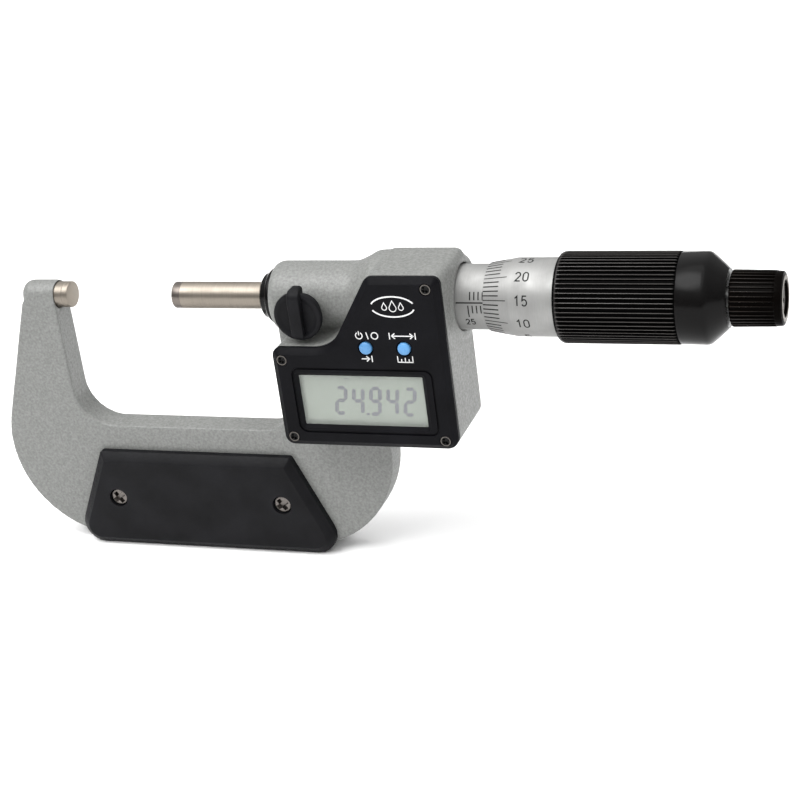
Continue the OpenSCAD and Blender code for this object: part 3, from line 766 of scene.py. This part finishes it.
# ---------------------------------------------------------------- sleeve and thimble
sleeve = lathe("sleeve", [
    (sleeve_low.x, sleeve_r), (sleeve_high.x - 0.2, sleeve_r), (sleeve_high.x, sleeve_r - 0.2),
    (sleeve_high.x, 6.57), (sleeve_low.x, 6.57)
], closed=True, steps=192)
place(sleeve, "sleeve", "frame", "satin_chrome", ["graduated_sleeve"])
hub_x, hub_end = thimble_high.x - 9, thimble_high.x
thimble = lathe("thimble", [
    (edge, sleeve_r + 0.14), (edge, edge_r - 0.05), (edge + 0.05, edge_r), (edge + BEVEL, thimble_r - 0.15),
    (edge + BEVEL + 0.3, thimble_r - 0.08), (edge + BEVEL + 0.6, thimble_r - 0.03),
    (edge + BEVEL + 0.9, thimble_r), (hub_end, thimble_r),
    (hub_end, 2.8), (hub_x, 3.3), (hub_x, sleeve_r + 0.14)
], closed=True, steps=192)
place(thimble, "thimble_tube", "spindle", "satin_chrome", ["thimble"])

# ---------------------------------------------------------------- grip, tail cap and ratchet knob
def rib_ring(x, count, crest_r, depth):
    """A ribbed ring: narrow rounded crests between wide rounded valleys."""
    shape = [0.0, 0.62, 0.94, 1.0, 0.94, 0.62, 0.0, -0.06, -0.08, -0.06]
    where = [0.33, 0.375, 0.43, 0.50, 0.57, 0.625, 0.67, 0.80, 1.0, 1.20]
    ring = []
    for i in range(count):
        for height, at in zip(shape, where):
            r = crest_r - depth * (1 - max(height, 0)) + 0.3 * depth * min(height, 0)
            a = 2 * math.pi * (i + at) / count
            ring.append((x, -r * math.cos(a), r * math.sin(a)))
    return ring


grip_low, grip_high = span("grip_sleeve")
grip_r = grip_high.z
RIBS, KNOB_RIBS = 60, 36
rib_levels = [
    (grip_low.x, grip_r - 0.95, 0.0), (grip_low.x + 0.08, grip_r - 0.62, 0.0),
    (grip_low.x + 0.35, grip_r - 0.28, 0.0), (grip_low.x + 0.75, grip_r - 0.1, 0.02),
    (grip_low.x + 1.0, grip_r - 0.02, 0.12), (grip_low.x + 1.5, grip_r, 0.5),
    (grip_low.x + 2.0, grip_r, 0.62), (grip_high.x - 0.5, grip_r, 0.62),
    (grip_high.x - 0.3, grip_r - 0.05, 0.6), (grip_high.x, grip_r - 0.2, 0.5)
]
inner = thimble_r + 0.02
rings = [rib_ring(x, RIBS, r, depth) for x, r, depth in rib_levels]
rings += [rib_ring(grip_high.x, RIBS, inner, 0.0), rib_ring(grip_low.x, RIBS, inner, 0.0)]
grip = loft("grip", rings, closed=True)
place(grip, "grip_ribs", "spindle", "grip_black", ["grip_sleeve"], 40)

cap_low, cap_high = span("tail_cap")
CAP_BAND = 5.9                        # length of the cap's cylinder, before its cone
CAP_BORE, CAP_HOLLOW = 2.52, 7.6      # radii of the hole for the ratchet's shaft and of the hollow before it
rib_end = grip_high.x
band_end = rib_end + CAP_BAND
tail = lathe("tail", [
    (cap_low.x, thimble_r - 0.1), (rib_end - 0.02, thimble_r - 0.1), (rib_end + 0.02, grip_r - 0.35),
    (rib_end + 0.12, grip_r - 0.2), (rib_end + 0.3, grip_r - 0.12), (band_end - 0.3, grip_r - 0.06),
    (band_end + 0.25, grip_r - 0.12), (band_end + 0.7, grip_r - 0.32), (band_end + 1.1, grip_r - 0.62),
    (band_end + 1.6, grip_r - 1.05), (band_end + 3.7, grip_r - 2.95), (band_end + 4.1, grip_r - 3.35),
    (band_end + 4.4, 6.75), (cap_high.x, 6.6), (cap_high.x, CAP_BORE), (band_end, CAP_BORE),
    (band_end, CAP_HOLLOW), (cap_low.x, CAP_HOLLOW)
], closed=True, steps=192)
place(tail, "tail_cap_shell", "spindle", "black_metal", ["tail_cap"])

knob_low, knob_high = span("ratchet_knob")
knob_r = knob_high.z
start, end = knob_low.x, knob_high.x
levels = [
    (start, knob_r - 0.5, 0.2), (start + 0.15, knob_r - 0.1, 0.4), (start + 0.4, knob_r + 0.05, 0.42),
    (end - 2.5, knob_r - 0.1, 0.42), (end - 2.1, knob_r - 0.12, 0.36), (end - 1.8, knob_r - 0.15, 0.06),
    (end - 1.6, knob_r - 0.2, 0.0), (end - 0.55, knob_r - 0.28, 0.0), (end - 0.3, knob_r - 0.4, 0.0),
    (end - 0.12, knob_r - 0.8, 0.0), (end - 0.06, knob_r - 1.1, 0.0),
    (end - 0.06, 4.25, 0.0), (end - 0.25, 4.0, 0.0),
    (end - 2.4, 3.95, 0.0), (end - 2.4, 2.6, 0.0), (end - 3.4, 2.6, 0.0), (end - 3.4, 4.7, 0.0),
    (start + 1.9, 4.7, 0.0), (start + 1.9, 2.55, 0.0), (start, 2.55, 0.0)
]
knob = loft("knob", [rib_ring(x, KNOB_RIBS, r, depth) for x, r, depth in levels], closed=True)
place(knob, "ratchet_grip", "ratchet_knob", "knob_black", ["ratchet_knob"], 40)

# A paler grey ring on the ratchet knob's end face.
pale_ring = lathe("pale_ring", [
    (end - 0.12, 4.2), (end - 0.02, 4.25), (end, 4.35), (end, knob_r - 1.2), (end - 0.02, knob_r - 1.1),
    (end - 0.12, knob_r - 1.05)
], closed=True)
place(pale_ring, "ratchet_end_ring", "ratchet_knob", "end_grey")

# ---------------------------------------------------------------- lock knob
knob_low, knob_high = span("lock_knob")
stem_low, stem_high = span("lock_stem")
lock_at = ((stem_low.x + stem_high.x) / 2, (stem_low.z + stem_high.z) / 2)
lock_r = (knob_high.x - knob_low.x) / 2
face = -13.2                          # front of the disc
FIN_HALF = 1.5                        # half the fin's thickness
disc = post("disc", lock_at, [
    (knob_high.y, 4.4), (face + 1.42, 4.4), (face + 1.4, lock_r - 0.25), (face + 1.2, lock_r),
    (face + 0.45, lock_r),
    (face + 0.15, lock_r - 0.15), (face, lock_r - 0.5), (face, lock_r - 0.9), (face + 0.1, lock_r - 1.15),
    (face + 0.3, lock_r - 1.5), (face + 0.38, lock_r - 2.0), (face + 0.38, 0.3)
], 96)
# Side view of the fin, as (z, y, radius) corners, and its half widths with their insets
fin_path = [
    (-5.0, knob_low.y, 0.7), (5.6, knob_low.y, 1.8), (knob_high.z, -12.4, 1.2),
    (knob_high.z - 0.05, -10.7, 0.5), (5.0, -10.9, 0.9), (3.4, -12.6, 0.3), (-5.0, -12.6, 0.15)
]
fin = loft("fin", [[(lock_at[0] + x, q.y, lock_at[1] + q.x) for q in outline(fin_path, inset)]
                   for x, inset in ((-FIN_HALF, 0.3), (-1.38, 0.1), (-1.1, 0.0),
                                    (1.1, 0.0), (1.38, 0.1), (FIN_HALF, 0.3))])
plan = rectangle(lock_at[0] - FIN_HALF, lock_at[0] + FIN_HALF, -5.2, knob_high.z, 1.3)
combine(fin, [stack("plan", plan, [(knob_low.y - OVERCUT, 0.0), (-9.5, 0.0)])], "INTERSECT")
combine(disc, [fin], "UNION")
combine(disc, [post("socket", lock_at, [(-12.0, 1.7), (knob_high.y + OVERCUT, 1.7)])])
place(disc, "lock_lever", "lock_knob", "black_plastic", ["lock_knob"])

# ---------------------------------------------------------------- battery cap
cap_low, cap_high = span("battery_cap")
battery_at = ((cap_low.x + cap_high.x) / 2, (cap_low.z + cap_high.z) / 2)
SLOT_HALF = (4.5, 0.7)                # half length and half width of the coin slot
rim = cap_high.y
cap = post("cap", battery_at, [
    (cap_low.y, 5.6), (cap_low.y + 0.6, 5.6), (cap_low.y + 0.6, 7.0), (rim - 0.3, 7.0), (rim - 0.08, 6.9),
    (rim, 6.65), (rim, 5.9), (rim - 0.15, 5.7), (rim - 0.15, 0.4)
], 96)
slot_path = rectangle(battery_at[0] - SLOT_HALF[0], battery_at[0] + SLOT_HALF[0],
                      battery_at[1] - SLOT_HALF[1], battery_at[1] + SLOT_HALF[1], 0.6)
combine(cap, [stack("slot", slot_path, [(rim - 0.9, 0.1), (rim - 0.2, 0.0), (rim + OVERCUT, -0.2)])])
place(cap, "battery_door", "battery_cap", "black_plastic", ["battery_cap"])

# ---------------------------------------------------------------- display
DIGIT_W, DIGIT_H, BAR = 3.15, 7.5, 0.95         # size of a digit and width of its bars
DIGIT_PITCH = 4.26
SLANT = 0.137
SHOWN = "24942"
DOT_HALF = 0.33
LIT = {"2": "abged", "4": "fgbc", "9": "abcdfg"}


def bar(a, b):
    """A display segment from a to b with pointed ends."""
    a, b = Vector(a), Vector(b)
    u = (b - a).normalized()
    n = Vector((-u.y, u.x)) * BAR / 2
    a, b = a + u * 0.1, b - u * 0.1
    return [a, a + u * BAR * 0.4 + n, b - u * BAR * 0.4 + n, b, b - u * BAR * 0.4 - n, a + u * BAR * 0.4 - n]


def digit_cells(character, centre):
    """The lit bars of one digit; a is the top bar, and b to f follow clockwise round it, with g across."""
    w, h = (DIGIT_W - BAR) / 2, (DIGIT_H - BAR) / 2
    ends = {
        "a": ((-w, h), (w, h)), "b": ((w, h), (w, 0)), "c": ((w, 0), (w, -h)), "d": ((-w, -h), (w, -h)),
        "e": ((-w, 0), (-w, -h)), "f": ((-w, h), (-w, 0)), "g": ((-w, 0), (w, 0))
    }
    return [[(centre[0] + p.x + p.y * SLANT, centre[1] + p.y) for p in bar(*ends[key])]
            for key in LIT[character]]


panel_front = span("lcd_panel")[0].y
digits_x, digits_z = 74.1, -20.4
cells = []
for i, character in enumerate(SHOWN):
    cells += digit_cells(character, (digits_x + i * DIGIT_PITCH, digits_z))
dot = (digits_x + 1.47 * DIGIT_PITCH, digits_z - 3.35)
cells.append([(dot[0] + u * DOT_HALF, dot[1] + v * DOT_HALF) for u, v in SQUARE])
segments = inlay("segments", cells, on_plane(panel_front))
lay_mark(segments, "display_digits", "frame", "segments", "lcd_glass")
marker = inlay("marker", ribbon([(75.5, -14.95), (76.2, -14.6), (76.9, -14.95)], 0.2), on_plane(panel_front))
lay_mark(marker, "display_marker", "frame", "segments", "lcd_glass")

# Printed symbols: three drops in an oval, and generic signs above and below each button
THIN, THICK = 0.24, 0.34
print_cells = []
oval = (90.7, 4.1)
for a0, a1 in ((20, 165), (200, 345)):
    print_cells += ribbon(arc(oval, (5.2, 2.45), a0, a1, 28), THICK)
for dx, size in ((-2.0, 0.8), (0.0, 1.15), (2.0, 0.8)):
    body = arc((oval[0] + dx, oval[1] - 0.3 * size), (0.72 * size, 0.72 * size), 150, 390, 18)
    print_cells += ribbon([*body, (oval[0] + dx, oval[1] + 1.25 * size)], 0.2, closed=True)

left_x, right_x = (centre[0] for centre in button_at)
top_z, low_z = -3.05, -8.8

# Left button: a power sign, a stroke and a ring above, and an arrow to a stop below
print_cells += ribbon(arc((left_x - 1.2, top_z), (0.8, 0.8), 120, 420, 20), THIN)
print_cells += ribbon([(left_x - 1.2, top_z + 1.05), (left_x - 1.2, top_z + 0.1)], THIN)
print_cells += ribbon([(left_x + 0.6, top_z + 0.85), (left_x + 1.0, top_z - 0.85)], THIN)
print_cells += ribbon(arc((left_x + 2.6, top_z), (0.8, 0.8), 0, 360, 20)[:-1], THIN, closed=True)
print_cells += ribbon([(left_x - 1.3, low_z), (left_x + 0.6, low_z)], THIN)
print_cells += ribbon([(left_x + u, low_z + v) for u, v in ((-0.1, 0.65), (0.65, 0), (-0.1, -0.65))], THIN)
print_cells += ribbon([(left_x + 1.25, low_z + 0.8), (left_x + 1.25, low_z - 0.8)], THIN)

# Right button: an arrow between two stops above, and a ruler below
for side in (-1, 1):
    stop_u, tip_u = right_x + side * 3.1, right_x + side * 2.6
    barb_u = tip_u - side * 0.8
    print_cells += ribbon([(stop_u, top_z - 0.8), (stop_u, top_z + 0.8)], THIN)
    print_cells += ribbon([(barb_u, top_z + 0.65), (tip_u, top_z), (barb_u, top_z - 0.65)], THIN)
print_cells += ribbon([(right_x - 2.6, top_z), (right_x + 2.6, top_z)], THIN)
print_cells += ribbon([(right_x - 1.9, low_z - 0.7), (right_x + 1.9, low_z - 0.7)], THIN)
for i, height in enumerate((1.5, 0.8, 1.1, 0.8, 1.5)):
    u = right_x - 1.8 + i * 0.9
    print_cells += ribbon([(u, low_z - 0.7), (u, low_z - 0.7 + height)], 0.22)
lay_mark(inlay("print", print_cells, on_plane(front)), "cover_print", "frame", "white", "cover_plastic")

# ---------------------------------------------------------------- floor, light and camera
FLOOR_HALF = 4000
floor_z = min(casting_low.z, plate_low.z)
floor = build("floor", [(x * FLOOR_HALF, y * FLOOR_HALF, floor_z) for x, y in SQUARE], [(0, 1, 2, 3)])
paper, paper_shader = finish("paper", (0.93, 0.93, 0.93), 0.9)
paper_shader.inputs["Specular IOR Level"].default_value = 0.1
floor.data.materials.append(paper)

# A bright ceiling over a dimmer horizon, with a softbox to the upper left
HORIZON, CEILING, SOFTBOX_GAIN = 0.27, 1.27, 5.0
SOFTBOX = (-0.34, -0.38, 0.86)
world = bpy.data.worlds.new("world")
world.use_nodes = True
nodes, links = world.node_tree.nodes, world.node_tree.links
direction = nodes.new("ShaderNodeTexCoord").outputs["Generated"]
axes = nodes.new("ShaderNodeSeparateXYZ")
links.new(direction, axes.inputs["Vector"])
rise = nodes.new("ShaderNodeMapRange")
for key, value in (("From Min", 0.1), ("From Max", 0.8), ("To Min", HORIZON), ("To Max", CEILING)):
    rise.inputs[key].default_value = value
links.new(axes.outputs["Z"], rise.inputs["Value"])
toward = nodes.new("ShaderNodeVectorMath")
toward.operation = "DOT_PRODUCT"
toward.inputs[1].default_value = SOFTBOX
links.new(direction, toward.inputs[0])
panel = nodes.new("ShaderNodeMapRange")
for key, value in (("From Min", 0.9), ("From Max", 0.97), ("To Min", 0.0), ("To Max", SOFTBOX_GAIN)):
    panel.inputs[key].default_value = value
links.new(toward.outputs["Value"], panel.inputs["Value"])
total = nodes.new("ShaderNodeMath")
links.new(rise.outputs["Result"], total.inputs[0])
links.new(panel.outputs["Result"], total.inputs[1])
links.new(total.outputs["Value"], nodes["Background"].inputs["Strength"])
nodes["Background"].inputs["Color"].default_value = (1, 1, 1, 1)
scene.world = world
scene.view_settings.view_transform = "Standard"
scene.view_settings.look = "None"


def sun(name, direction, strength, angle):
    """Even light that shines along a direction."""
    data = bpy.data.lights.new(name, "SUN")
    data.energy = strength
    data.angle = math.radians(angle)
    obj = bpy.data.objects.new(name, data)
    obj.rotation_mode = "QUATERNION"
    obj.rotation_quaternion = Vector(direction).to_track_quat("-Z", "Y")
    scene.collection.objects.link(obj)


sun("top", (0.1, 0.3, -1.0), 1.2, 70)
sun("right", (-1.0, 0.25, -0.35), 0.12, 70)

AZIMUTH, ELEVATION, ROLL = 21.88, 24.16, -7.86
DISTANCE = 455.3                      # millimetres from the aim
FOCAL_LENGTH, SENSOR_WIDTH = 85.5, 36
AIM = Vector((82.91, 0, -26.91))
azimuth, elevation, roll = (math.radians(a) for a in (AZIMUTH, ELEVATION, ROLL))
look = Vector((-math.sin(azimuth) * math.cos(elevation), math.cos(azimuth) * math.cos(elevation),
               -math.sin(elevation)))
right_hand = Vector((math.cos(azimuth), math.sin(azimuth), 0))
upward = right_hand.cross(look)
right_roll = right_hand * math.cos(roll) + upward * math.sin(roll)
up_roll = upward * math.cos(roll) - right_hand * math.sin(roll)
lens = bpy.data.cameras.new("camera")
lens.lens = FOCAL_LENGTH
lens.sensor_width = SENSOR_WIDTH
lens.clip_start, lens.clip_end = 0.01, 20
camera = bpy.data.objects.new("camera", lens)
turned = Matrix((right_roll, up_roll, -look)).transposed().to_4x4()
camera.matrix_world = Matrix.Translation((AIM - look * DISTANCE) * MM) @ turned
scene.collection.objects.link(camera)
scene.camera = camera
